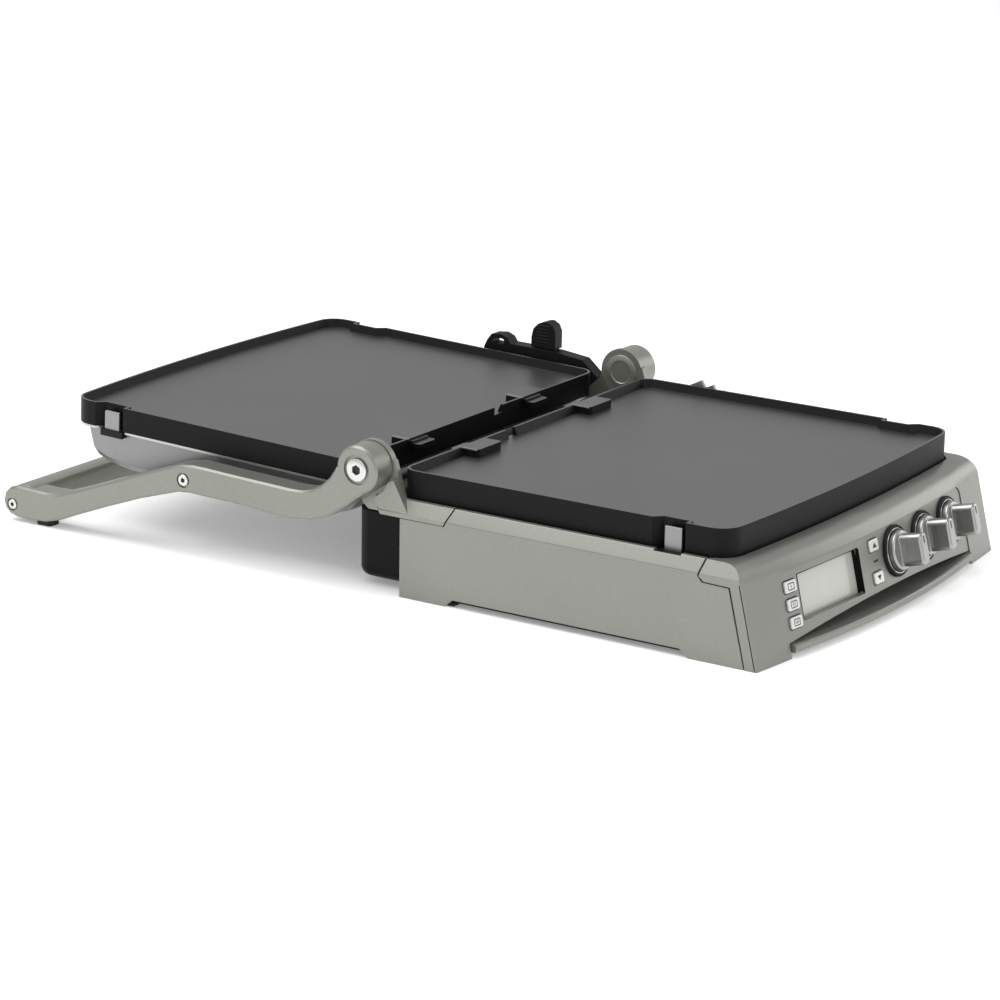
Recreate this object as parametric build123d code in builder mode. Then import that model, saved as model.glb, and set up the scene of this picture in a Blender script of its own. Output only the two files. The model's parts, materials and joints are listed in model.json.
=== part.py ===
from build123d import *
import os
from math import asin, atan, cos, degrees, radians, sin, sqrt

os.makedirs("parts", exist_ok=True)

# Contact grill, opened flat, in millimetres. The table is z = 0, the front is -Y, the lid lies at +Y.
# Side shapes are drawn in (y, z) and plan shapes in (x, y), both measured from the hinge line.

# ---- main sizes ----
HINGE_Y = 7.75            # the hinge line's place in the row frame, so that the open press is centred
AXIS_Y = 2.0             # hinge pin axis, from the hinge line
AXIS_Z = 90.8
GAP = 0.3

PLATE_W = 330.0
PLATE_BACK = 19.0
PLATE_FRONT = 282.5
LID_PLATE_BACK = 25.2
LID_PLATE_FRONT = 276.8
PLATE_BOW = 7.0
RIM_TOP = 90.0
RIM_DEEP = 22.0
LID_RIM_DEEP = 18.2
RIM_WALL = 4.5
FLOOR_DROP = 6.0
FLOOR_T = 4.2
NOTCH_A = 229.5
NOTCH_B = 249.5
NOTCH_IN = 6.0

SIDE_X = 177.0
SIDE_T = 3.0
STRIP_X = 171.0
STRIP_Z = 61.0
DECK_Z = 70.0
SILL_Z = 5.6

FACE_R = 1423.0          # plan radius of the bowed front
FACE_Y = -325.0          # front at the table, on the centre line
FACE_SLOPE = 0.244
CONSOLE_X = 135.5
CONSOLE_Z = 57.0
CONSOLE_LOW = 9.8
CONSOLE_ARCH = 17.2
CONSOLE_T = 3.2
CONSOLE_IN = 0.7

KNOB_X = (17.3, 61.7, 106.0)
KNOB_Z = 38.4
BEZEL_R = 18.3
SKIRT_R = 14.4
KNOB_DEEP = 23.2
GRIP_W = 11.0
GRIP_H = 23.5
BUTTON_X = -124.4
BUTTON_Z = (46.2, 34.2, 22.2)
BUTTON_W = 13.4
BUTTON_H = 8.0
ARROW_X = -13.5
ARROW_Z = (49.2, 26.8)
ARROW_W = 12.0
ARROW_H = 8.2
LCD_X = (-114.0, -33.5)
LCD_Z = (20.8, 52.2)

ARM_IN = 171.0
ARM_OUT = 190.0
BARREL_R = 17.3
PIN_R = 7.0
RUNNING = 0.05
ELBOW = (154.9, 58.1)
TIP = (316.0, 13.0)
EAR_IN = 165.7
EAR_OUT = 170.6

LID_TILT = degrees(atan(0.032))
LID_Z = 87.8
LID_SHELL_X = 160.4
LID_PIVOT_R = 4.0

TRAY_X = 98.0
LIP_X = 134.0


# ---- helpers ----
def at(x, y, z):
    """A point given from the hinge line, in the row frame."""
    return (x, HINGE_Y + y, z)


def side(x):
    """Drawing plane across the press: local x is +Y, local y is +Z."""
    return Plane(origin=at(x, 0, 0), x_dir=(0, 1, 0), z_dir=(1, 0, 0))


def level(z):
    """Drawing plane at height z: local axes are X and Y."""
    return Plane(origin=at(0, 0, z))


def cross(y):
    """Drawing plane facing the front at y: local x is +X, local y is +Z, normal is -Y."""
    return Plane(origin=at(0, y, 0), x_dir=(1, 0, 0), z_dir=(0, -1, 0))


def lid_level(z):
    """Drawing plane of the tilted lid at height z over its rim: local axes are X and the lid's own Y."""
    c = cos(radians(LID_TILT))
    s = sin(radians(LID_TILT))
    return Plane(origin=at(0, -s * z, LID_Z + c * z), x_dir=(1, 0, 0), z_dir=(0, -s, c))


def lid_side(x):
    """Drawing plane across the tilted lid: local x is the lid's own Y, local y is height over its rim."""
    c = cos(radians(LID_TILT))
    s = sin(radians(LID_TILT))
    return Plane(origin=at(x, 0, LID_Z), x_dir=(0, c, s), z_dir=(1, 0, 0))


def face_plane(x, z):
    """Plane lying on the bowed, leaning front at width x and height z; its normal points out."""
    radius = FACE_R - FACE_SLOPE * z
    turn = asin(x / radius)
    lean = atan(FACE_SLOPE)
    y = FACE_Y + FACE_R - sqrt(radius * radius - x * x)
    normal = (sin(turn) * cos(lean), -cos(turn) * cos(lean), sin(lean))
    return Plane(origin=at(x, y, z), x_dir=(cos(turn), sin(turn), 0), z_dir=normal)


def bow_axis():
    """Upright axis that the bowed front turns about."""
    return Axis(at(0, FACE_Y + FACE_R, 0), (0, 0, 1))


def front_y(z, inset=0.0):
    """Front surface on the centre line at height z, set in by inset."""
    return FACE_Y + FACE_SLOPE * z + inset


# ---- removable plates ----
def plate_outline(turned):
    """Plan outline of a plate with its side notches; turned gives the lid's plate."""
    s = -1 if turned else 1
    half = PLATE_W / 2
    start = LID_PLATE_BACK if turned else PLATE_BACK
    end = LID_PLATE_FRONT if turned else PLATE_FRONT
    back = -s * start
    front = -s * end
    tip = -s * (end + PLATE_BOW)
    near = -s * NOTCH_A
    far = -s * NOTCH_B
    slope = s * NOTCH_IN
    with BuildSketch(mode=Mode.PRIVATE) as outline:
        with BuildLine():
            Polyline((-half, front), (-half, back), (half, back), (half, front))
            ThreePointArc((half, front), (0, tip), (-half, front))
        make_face()
        ends = outline.vertices().filter_by(lambda v: abs(abs(v.X) - half) < 0.1)
        fillet(ends.filter_by(lambda v: abs(v.Y - front) < 1), radius=17)
        corners = outline.vertices().filter_by(lambda v: abs(v.Y - back) < 0.1)
        fillet(corners, radius=11)
        with BuildLine():
            Polyline((-s * half, near + slope), (-s * (half - NOTCH_IN), near), (-s * (half - NOTCH_IN), far),
                     (-s * (half + 5), far), (-s * (half + 5), near + slope), close=True)
        make_face(mode=Mode.SUBTRACT)
        with BuildLine():
            Polyline((s * half, far - slope), (s * (half - NOTCH_IN), far), (s * (half - NOTCH_IN), near),
                     (s * (half + 5), near), (s * (half + 5), far - slope), close=True)
        make_face(mode=Mode.SUBTRACT)
    return outline.sketch


def build_plate(plane_at, top, turned):
    """Cast cooking plate: skirt, sunk floor, two hinge-side tabs and the grease spout."""
    s = -1 if turned else 1
    start = LID_PLATE_BACK if turned else PLATE_BACK
    deep = LID_RIM_DEEP if turned else RIM_DEEP
    outline = plate_outline(turned)
    with BuildPart() as plate:
        with BuildSketch(plane_at(top - deep)):
            add(outline)
        extrude(amount=deep)
        with BuildSketch(plane_at(top - FLOOR_DROP)):
            add(outline)
            offset(amount=-RIM_WALL, mode=Mode.REPLACE)
        extrude(amount=FLOOR_DROP + 1, taper=-24, mode=Mode.SUBTRACT)
        with BuildSketch(plane_at(top - deep - 1)):
            add(outline)
            offset(amount=-RIM_WALL, mode=Mode.REPLACE)
        extrude(amount=deep - FLOOR_DROP - FLOOR_T + 1, mode=Mode.SUBTRACT)
        with BuildSketch(plane_at(top - FLOOR_DROP - 1)):
            with Locations((-76, -s * (start + 8.2)), (76, -s * (start + 8.2))):
                RectangleRounded(31, 16, 2.5)
        extrude(amount=FLOOR_DROP + 1)
        with BuildSketch(plane_at(top - 6.5)):
            with Locations((-80, -s * (start - 2)), (72, -s * (start - 2))):
                RectangleRounded(21, 14, 2.5)
        extrude(amount=3.5)
        with BuildSketch(plane_at(top - 3.5)):
            with Locations((-80, -s * (start + 1)), (72, -s * (start + 1))):
                RectangleRounded(21, 8, 2)
        extrude(amount=2)
        with BuildSketch(plane_at(top - FLOOR_DROP)):
            with Locations((-s * 27.5, -s * (start + 2))):
                Rectangle(11, 8)
        extrude(amount=FLOOR_DROP + 1, mode=Mode.SUBTRACT)
    return plate.part


# ---- pans, elements and covers under the plates ----
def build_pan(plane_at, top, deep, turned):
    """Reflector pan whose flange shows as a bright line under the plate."""
    s = -1 if turned else 1
    outline = plate_outline(turned)
    with BuildPart() as pan:
        with BuildSketch(plane_at(top - 1.6)):
            add(outline)
            offset(amount=-0.9, mode=Mode.REPLACE)
        extrude(amount=1.6)
        with BuildSketch(plane_at(top - deep)):
            with Locations((0, -s * 150)):
                RectangleRounded(302, 226, 12)
        extrude(amount=deep - 1)
        with BuildSketch(plane_at(top - deep + 1.4)):
            with Locations((0, -s * 150)):
                RectangleRounded(299.2, 223.2, 10.6)
        extrude(amount=deep + 1, mode=Mode.SUBTRACT)
    return pan.part


def build_element(plane_at, z, s):
    """Round sheathed heating element with its two thinner terminals."""
    with BuildPart() as element:
        with BuildLine(plane_at(z)) as path:
            FilletPolyline((-40, -s * 52), (-40, -s * 105), (-128, -s * 105), (-128, -s * 250), (128, -s * 250),
                           (128, -s * 105), (40, -s * 105), (40, -s * 52), radius=22)
        with BuildSketch(Plane(origin=path.line @ 0, z_dir=path.line % 0)):
            Circle(3.3)
        sweep()
        for end, way in ((path.line @ 0, path.line % 0 * -1), (path.line @ 1, path.line % 1)):
            with BuildSketch(Plane(origin=end, z_dir=way)):
                Circle(1.8)
            extrude(amount=9)
    return element.part


# ---- base: side panels ----
def side_section(sign):
    """Cross section (x, z) of a side panel with its leaning top strip."""
    x = sign
    return [(x * SIDE_X, 0), (x * SIDE_X, STRIP_Z), (x * STRIP_X, DECK_Z), (x * 167, DECK_Z), (x * 167, 67),
            (x * (STRIP_X - 1.6), 67), (x * (SIDE_X - SIDE_T), STRIP_Z - 1), (x * (SIDE_X - SIDE_T), 0)]


def build_side_panel(sign):
    """Painted side panel with both feet, the leaning strip and the cut for the hinge cap."""
    with BuildPart() as panel:
        with BuildSketch(cross(-26)):
            with BuildLine():
                Polyline(side_section(sign), close=True)
            make_face()
        extrude(amount=280)
        with BuildSketch(side(0)):
            with BuildLine():
                Polyline((-63, -1), (-71, SILL_Z), (-254, SILL_Z), (-262, -1), close=True)
            make_face()
            with BuildLine():
                Polyline((-400, -1), (-304.2, -1), (-290.4, 54.4), (-270.0, 55.0), (-266.2, 59.2), (-270.0, 75),
                         (-400, 75), close=True)
            make_face()
            with BuildLine():
                Polyline((-20, 75), (-70.6, 75), (-63.3, 57.7), (-20, 57.7), close=True)
            make_face()
        extrude(amount=200, both=True, mode=Mode.SUBTRACT)
        with Locations(at(sign * 168.5, -239.5, 67)):
            Box(6.2, 21, 9, mode=Mode.SUBTRACT)
    return panel.part


with BuildPart() as side_panel_left:
    add(build_side_panel(-1))
side_panel_left.part.label = "side_panel_left"
export_step(side_panel_left.part, "parts/side_panel_left.step")

with BuildPart() as side_panel_right:
    add(build_side_panel(1))
side_panel_right.part.label = "side_panel_right"
export_step(side_panel_right.part, "parts/side_panel_right.step")


# ---- base: hinge brackets ----
def build_bracket(sign):
    """Hinge casting: outer cap with its rear horn, and the ear that carries the pin."""
    with BuildPart() as bracket:
        with BuildSketch(cross(-2)):
            with BuildLine():
                Polyline((sign * SIDE_X, 58), (sign * SIDE_X, STRIP_Z), (sign * STRIP_X, DECK_Z), (sign * 167, DECK_Z),
                         (sign * 167, 58), close=True)
            make_face()
        extrude(amount=66.8)
        with BuildSketch(side(0)):
            with BuildLine():
                Polyline((-69.7, 75), (-61.1, 55), (-90, 55), (-90, 75), close=True)
            make_face()
            with BuildLine():
                Polyline((5, 72), (-2.5, 68), (-9.6, 57.5), (5, 50), close=True)
            make_face()
        extrude(amount=200, both=True, mode=Mode.SUBTRACT)
        with BuildSketch(side(sign * EAR_OUT)):
            with BuildLine():
                Polyline((-32, 62.5), (-20, 84), (-15.5, 82), (-11.5, 74.5), (-3.2, 68.6), (-9, 60), (-32, 60),
                         close=True)
            make_face()
        extrude(amount=sign * (SIDE_X - EAR_OUT - 0.4))
        with BuildSketch(side(sign * EAR_IN)):
            with BuildLine():
                Polyline((-27.5, 60), (-16.8, 96), (AXIS_Y, AXIS_Z + 17.6), (20, 92), (10, 62), (5, 58), (-24, 58),
                         close=True)
            make_face()
            with Locations((AXIS_Y, AXIS_Z)):
                Circle(18.2)
                Circle(PIN_R, mode=Mode.SUBTRACT)
        extrude(amount=sign * (EAR_OUT - EAR_IN))
        with BuildSketch(side(sign * EAR_IN)):
            with BuildLine():
                Polyline((20, 100), (21, 89), (14, 76), (9, 58), (30, 58), (30, 100), close=True)
            make_face()
        extrude(amount=sign * 4, mode=Mode.SUBTRACT)
    return bracket.part


with BuildPart() as hinge_bracket_left:
    add(build_bracket(-1))
hinge_bracket_left.part.label = "hinge_bracket_left"
export_step(hinge_bracket_left.part, "parts/hinge_bracket_left.step")

with BuildPart() as hinge_bracket_right:
    add(build_bracket(1))
hinge_bracket_right.part.label = "hinge_bracket_right"
export_step(hinge_bracket_right.part, "parts/hinge_bracket_right.step")

with BuildPart() as hinge_pins:
    for sign in (-1, 1):
        with BuildSketch(side(sign * EAR_IN)):
            with Locations((AXIS_Y, AXIS_Z)):
                Circle(PIN_R)
        extrude(amount=sign * 17)
hinge_pins.part.label = "hinge_pins"
export_step(hinge_pins.part, "parts/hinge_pins.step")


# ---- base: bowed front ----
def bowed_band(points):
    """Solid of constant (y, z) section swept along the bow of the front, wide enough to be trimmed."""
    with BuildPart() as band:
        with BuildSketch(side(0)):
            with BuildLine():
                Polyline(points, close=True)
            make_face()
        revolve(axis=bow_axis(), revolution_arc=8.5)
        mirror(about=side(0))
    return band.part


def console_window(grow):
    """Front view outline of the console, arched along its lower edge."""
    wide = CONSOLE_X + grow
    with BuildSketch(mode=Mode.PRIVATE) as window:
        with BuildLine():
            Polyline((-wide, CONSOLE_LOW - grow), (-wide, CONSOLE_Z + grow), (wide, CONSOLE_Z + grow),
                     (wide, CONSOLE_LOW - grow))
            ThreePointArc((wide, CONSOLE_LOW - grow), (0, CONSOLE_ARCH - grow), (-wide, CONSOLE_LOW - grow))
        make_face()
        top = window.vertices().filter_by(lambda v: v.Y > CONSOLE_Z - 1)
        fillet(top, radius=7)
    return window.sketch


front_core = bowed_band([(front_y(-1, 4), -1), (front_y(58, 4), 58), (front_y(62, 6), 62.8), (-240, 62.8),
                         (-240, -1)])
with BuildPart() as front_trim:
    with Locations(at(0, -300, 0)):
        Box(348, 300, 300)
front_hollow = front_core & front_trim.part

with BuildPart() as front_frame:
    add(bowed_band([(front_y(0), 0), (front_y(58), 58), (front_y(64, 1.6), 64), (front_y(67.5, 4.6), 67.5),
                    (front_y(69, 8.5), 69.3), (front_y(69, 13), 70), (-252, DECK_Z), (-252, 0)]))
    with BuildSketch(cross(-240)):
        with BuildLine():
            Polyline((-SIDE_X, 0), (-SIDE_X, STRIP_Z), (-STRIP_X, DECK_Z), (STRIP_X, DECK_Z), (SIDE_X, STRIP_Z),
                     (SIDE_X, 0), close=True)
        make_face()
    extrude(amount=100, mode=Mode.INTERSECT)
    add(front_hollow, mode=Mode.SUBTRACT)
    with BuildSketch(side(0)):
        with BuildLine():
            Polyline((-200, -1), (-305.2, -1), (-291.5, 55.2), (-271.2, 55.8), (-267.4, 59), (-271.2, 75), (-200, 75),
                     close=True)
        make_face()
    extrude(amount=200, both=True, mode=Mode.SUBTRACT)
    with BuildSketch(level(65.6)):
        add(plate_outline(False))
        offset(amount=1.6, mode=Mode.REPLACE)
    extrude(amount=20, mode=Mode.SUBTRACT)
    with Locations(at(0, -254, 66)):
        Box(334, 36, 14, mode=Mode.SUBTRACT)
    with BuildSketch(cross(-280)):
        add(console_window(0.35))
        with Locations((0, 8)):
            Rectangle(2 * CONSOLE_X + 0.7, 20)
    extrude(amount=60, mode=Mode.SUBTRACT)
front_frame.part.label = "front_frame"
export_step(front_frame.part, "parts/front_frame.step")

with BuildPart() as console_panel:
    add(bowed_band([(front_y(4, CONSOLE_IN), 4), (front_y(60, CONSOLE_IN), 60), (front_y(60, CONSOLE_IN + CONSOLE_T), 60),
                    (front_y(4, CONSOLE_IN + CONSOLE_T), 4)]))
    with BuildSketch(cross(-280)):
        add(console_window(0))
    extrude(amount=60, mode=Mode.INTERSECT)
    for x in KNOB_X:
        with BuildSketch(face_plane(x, KNOB_Z)):
            Circle(4.0)
        extrude(amount=12, both=True, mode=Mode.SUBTRACT)
    for z in BUTTON_Z:
        with BuildSketch(face_plane(BUTTON_X, z)):
            RectangleRounded(BUTTON_W + 0.8, BUTTON_H + 0.8, 1.8)
        extrude(amount=12, both=True, mode=Mode.SUBTRACT)
    for z in ARROW_Z:
        with BuildSketch(face_plane(ARROW_X, z)):
            RectangleRounded(ARROW_W + 0.8, ARROW_H + 0.8, 1.8)
        extrude(amount=12, both=True, mode=Mode.SUBTRACT)
    with BuildSketch(cross(-280)):
        with Locations(((LCD_X[0] + LCD_X[1]) / 2, (LCD_Z[0] + LCD_Z[1]) / 2)):
            RectangleRounded(LCD_X[1] - LCD_X[0], LCD_Z[1] - LCD_Z[0], 1.5)
    extrude(amount=60, mode=Mode.SUBTRACT)
console_panel.part.label = "console_panel"
export_step(console_panel.part, "parts/console_panel.step")

LCD_MID = ((LCD_X[0] + LCD_X[1]) / 2, (LCD_Z[0] + LCD_Z[1]) / 2)
with BuildPart() as display_window:
    with BuildSketch(face_plane(*LCD_MID).offset(-8.2)):
        Rectangle(LCD_X[1] - LCD_X[0] + 5, (LCD_Z[1] - LCD_Z[0]) * 1.03 + 4)
    extrude(amount=1.2)
display_window.part.label = "display_window"
export_step(display_window.part, "parts/display_window.step")

with BuildPart() as knob_bezels:
    for x in KNOB_X:
        with BuildSketch(face_plane(x, KNOB_Z).offset(-CONSOLE_IN + 0.05)):
            Circle(BEZEL_R)
            Circle(SKIRT_R + 0.9, mode=Mode.SUBTRACT)
        extrude(amount=2.6)
knob_bezels.part.label = "knob_bezels"
export_step(knob_bezels.part, "parts/knob_bezels.step")


def build_knob(x):
    """Control knob: round skirt, upright bar grip and a shaft through the console."""
    plane = face_plane(x, KNOB_Z)
    with BuildPart() as knob:
        with BuildSketch(plane.offset(0.2)):
            Circle(SKIRT_R)
        extrude(amount=6.2)
        fillet(knob.faces().sort_by(Axis((0, 0, 0), plane.z_dir))[-1].edges(), radius=1.8)
        with BuildSketch(plane.offset(4)):
            RectangleRounded(GRIP_W, GRIP_H, 4.4)
        extrude(amount=KNOB_DEEP - 4, taper=1.2)
        fillet(knob.faces().sort_by(Axis((0, 0, 0), plane.z_dir))[-1].edges(), radius=2.0)
        with BuildSketch(plane.offset(0.3)):
            Circle(3.0)
        extrude(amount=-8.4)
    return knob.part


with BuildPart() as knob_upper_plate:
    add(build_knob(KNOB_X[0]))
knob_upper_plate.part.label = "knob_1"
export_step(knob_upper_plate.part, "parts/knob_1.step")

with BuildPart() as knob_select:
    add(build_knob(KNOB_X[1]))
knob_select.part.label = "knob_2"
export_step(knob_select.part, "parts/knob_2.step")

with BuildPart() as knob_lower_plate:
    add(build_knob(KNOB_X[2]))
knob_lower_plate.part.label = "knob_3"
export_step(knob_lower_plate.part, "parts/knob_3.step")


def build_button(x, z, wide, high):
    """Rounded push button whose foot stands behind the console."""
    with BuildPart() as button:
        with BuildSketch(face_plane(x, z).offset(-5.2)):
            RectangleRounded(wide, high, 1.5)
        extrude(amount=6.2)
        fillet(button.faces().sort_by(Axis((0, 0, 0), face_plane(x, z).z_dir))[-1].edges(), radius=0.6)
    return button.part


for index, z in enumerate(BUTTON_Z):
    with BuildPart() as menu_button:
        add(build_button(BUTTON_X, z, BUTTON_W, BUTTON_H))
    menu_button.part.label = f"button_{index + 1}"
    export_step(menu_button.part, f"parts/button_{index + 1}.step")

with BuildPart() as button_up:
    add(build_button(ARROW_X, ARROW_Z[0], ARROW_W, ARROW_H))
button_up.part.label = "button_up"
export_step(button_up.part, "parts/button_up.step")

with BuildPart() as button_down:
    add(build_button(ARROW_X, ARROW_Z[1], ARROW_W, ARROW_H))
button_down.part.label = "button_down"
export_step(button_down.part, "parts/button_down.step")

with BuildPart() as control_board:
    with BuildSketch(cross(-298.2)):
        with Locations((0, 36.6)):
            Rectangle(262, 36)
    extrude(amount=1.6)
control_board.part.label = "control_board"
export_step(control_board.part, "parts/control_board.step")

with BuildPart() as encoders:
    for x in KNOB_X:
        with BuildSketch(face_plane(x, KNOB_Z).offset(-9.6)):
            RectangleRounded(13, 13, 1)
            Circle(3.0 + RUNNING, mode=Mode.SUBTRACT)
        extrude(amount=5)
encoders.part.label = "encoders"
export_step(encoders.part, "parts/encoders.step")

with BuildPart() as base_screws:
    with BuildSketch(level(1.7)):
        with GridLocations(150, 110, 3, 3):
            with Locations((0, -165)):
                Circle(4)
                RegularPolygon(1.6, 6, mode=Mode.SUBTRACT)
    extrude(amount=1.3)
base_screws.part.label = "base_screws"
export_step(base_screws.part, "parts/base_screws.step")

# ---- base: tub, housing, feet ----
with BuildPart() as base_tub:
    with BuildSketch(level(3)):
        with Locations((0, -160.5)):
            Rectangle(346, 270)
    extrude(amount=54)
    with BuildSketch(level(5.4)):
        with Locations((0, -160.5)):
            Rectangle(341, 265)
    extrude(amount=60, mode=Mode.SUBTRACT)
    with BuildSketch(level(5.4)):
        with Locations((-TRAY_X - 3, -161.5), (TRAY_X + 3, -161.5)):
            Rectangle(2.4, 264)
    extrude(amount=15)
    with Locations(at(0, -295, 12.5)):
        Box(2 * TRAY_X + 3.6, 20, 14.2, mode=Mode.SUBTRACT)
    with Locations(at(-163.6, -166, 57), at(163.6, -166, 57)):
        Box(5.4, 259, 16)
    with Locations(at(-168, -239.5, 63), at(168, -239.5, 63)):
        Box(16, 24, 20, mode=Mode.SUBTRACT)
with base_tub:
    with Locations(at(0, -291, 70)):
        Box(360, 50, 15.2, mode=Mode.SUBTRACT)
base_tub.part.label = "base_tub"
export_step(base_tub.part, "parts/base_tub.step")

with BuildPart() as rear_housing:
    with BuildSketch(level(5)):
        with Locations((0, -3.5)):
            RectangleRounded(330, 49, 13)
    extrude(amount=50)
    fillet(rear_housing.faces().sort_by(Axis.Z)[0].edges(), radius=7)
    with Locations(at(0, -28, 30)):
        Box(340, 10, 60, mode=Mode.SUBTRACT)
    with BuildSketch(level(8)):
        with Locations((0, -5)):
            RectangleRounded(324, 46, 10)
    extrude(amount=44, mode=Mode.SUBTRACT)
    with BuildSketch(level(14)):
        with Locations((-154, 21), (154, 21)):
            Rectangle(5, 3)
    extrude(amount=32, mode=Mode.SUBTRACT)
    with BuildSketch(cross(15)):
        with Locations((118, 20)):
            Circle(8)
    extrude(amount=-10, mode=Mode.SUBTRACT)
rear_housing.part.label = "rear_housing"
export_step(rear_housing.part, "parts/rear_housing.step")

with BuildPart() as cord_gland:
    with BuildSketch(cross(16.5)):
        with Locations((118, 20)):
            Circle(7.8)
            Circle(3.6, mode=Mode.SUBTRACT)
    extrude(amount=-8)
    with BuildSketch(cross(21.1)):
        with Locations((118, 20)):
            Circle(10)
            Circle(3.6, mode=Mode.SUBTRACT)
    extrude(amount=-2.4)
cord_gland.part.label = "cord_gland"
export_step(cord_gland.part, "parts/cord_gland.step")

with BuildPart() as hinge_cover:
    with BuildSketch(side(-162)):
        with BuildLine():
            Polyline((-15.5, 55.2), (-15.5, 66), (-11, 71), (9, 71), (14, 66), (14, 55.2), close=True)
        make_face()
    extrude(amount=324)
    with Locations(at(-118, 0, 72), at(-100, 0, 72), at(-52, 0, 72), at(-34, 0, 72), at(34, 0, 72), at(52, 0, 72),
                   at(100, 0, 72), at(118, 0, 72)):
        Cylinder(2.6, 3)
    with BuildSketch(side(-92)):
        with Locations((0, 75)):
            Circle(5)
    extrude(amount=184)
    with Locations(at(-70, 0, 72.5), at(0, 0, 72.5), at(70, 0, 72.5)):
        Box(14, 12, 7)
hinge_cover.part.label = "hinge_cover"
export_step(hinge_cover.part, "parts/hinge_cover.step")

with BuildPart() as rubber_feet:
    for sign in (-1, 1):
        with BuildSketch(side(sign * 165)):
            with BuildLine():
                Polyline((-60, 0), (-60, 2.9), (-74, 2.9), (-70, 0), close=True)
            make_face()
            with BuildLine():
                Polyline((-275, 0), (-275, 2.9), (-296, 2.9), (-294, 0), close=True)
            make_face()
        extrude(amount=sign * 8.7)
rubber_feet.part.label = "rubber_feet"
export_step(rubber_feet.part, "parts/rubber_feet.step")

with BuildPart() as height_rack:
    with BuildSketch(side(167.3)):
        with BuildLine():
            Polyline((-48, DECK_Z), (-53, 86.6), (-68.2, 94.4), (-71.6, 89), (-78.8, 92.2), (-81.2, 86.6), (-88, 89.2),
                     (-91, 82), (-96, DECK_Z), close=True)
        make_face()
    extrude(amount=3.4)
height_rack.part.label = "height_rack"
export_step(height_rack.part, "parts/height_rack.step")

with BuildPart() as base_pan:
    add(build_pan(level, RIM_TOP - RIM_DEEP - 0.4, 22, False))
    with Locations(at(0, -152, 44.5)):
        Cylinder(9, 6, mode=Mode.SUBTRACT)
base_pan.part.label = "base_pan"
export_step(base_pan.part, "parts/base_pan.step")

with BuildPart() as base_element:
    add(build_element(level, 73.6, 1))
base_element.part.label = "base_element"
export_step(base_element.part, "parts/base_element.step")

with BuildPart() as lower_plate:
    add(build_plate(level, RIM_TOP, False))
lower_plate.part.label = "lower_plate"
export_step(lower_plate.part, "parts/lower_plate.step")


# ---- plate release clips ----
def build_clip(plane_at, top, deep, x, s):
    """Spring clip plate that stands in a plate notch."""
    with BuildPart() as clip:
        with BuildSketch(plane_at(top - deep)):
            with Locations((x, -s * 240)):
                Rectangle(2.4, 13.4)
        extrude(amount=deep - 4.6)
        fillet(clip.edges().filter_by(Axis.X), radius=0.8)
    return clip.part


def build_clip_socket(plane_at, low, high, inner, outer, x, s):
    """Dark guide that surrounds the foot of a clip."""
    sign = 1 if x > 0 else -1
    with BuildPart() as socket:
        with BuildSketch(plane_at(low)):
            with Locations((sign * (inner + outer) / 2, -s * 239.5)):
                Rectangle(outer - inner, 20)
            with Locations((sign * 163, -s * 240)):
                Rectangle(4.2, 14.2, mode=Mode.SUBTRACT)
        extrude(amount=high - low)
    return socket.part


with BuildPart() as clip_base_left:
    add(build_clip(level, RIM_TOP, 26, -163.6, 1))
clip_base_left.part.label = "clip_base_left"
export_step(clip_base_left.part, "parts/clip_base_left.step")

with BuildPart() as clip_base_right:
    add(build_clip(level, RIM_TOP, 26, 163.6, 1))
clip_base_right.part.label = "clip_base_right"
export_step(clip_base_right.part, "parts/clip_base_right.step")

with BuildPart() as clip_sockets_base:
    add(build_clip_socket(level, 58, 68.6, 159.6, 169.8, -163, 1))
    add(build_clip_socket(level, 58, 68.6, 159.6, 169.8, 163, 1))
clip_sockets_base.part.label = "clip_sockets_base"
export_step(clip_sockets_base.part, "parts/clip_sockets_base.step")

# ---- drip tray ----
with BuildPart() as drip_tray:
    with BuildSketch(level(6.2)):
        with Locations((0, -182)):
            Rectangle(2 * TRAY_X, 246)
    extrude(amount=6.2)
    with BuildSketch(level(7.8)):
        with Locations((0, -182)):
            Rectangle(2 * TRAY_X - 4, 242)
    extrude(amount=14, mode=Mode.SUBTRACT)
    with BuildSketch(level(3.6)):
        with BuildLine():
            Polyline((LIP_X, -320), (LIP_X, -303.5), (-LIP_X, -303.5), (-LIP_X, -320))
            ThreePointArc((-LIP_X, -320), (0, -330.2), (LIP_X, -320))
        make_face()
    extrude(amount=5.8)
    fillet(drip_tray.edges().filter_by(lambda e: e.center().Y < HINGE_Y - 322 and e.length > 200), radius=1.6)
drip_tray.part.label = "drip_tray"
export_step(drip_tray.part, "parts/drip_tray.step")


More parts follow.
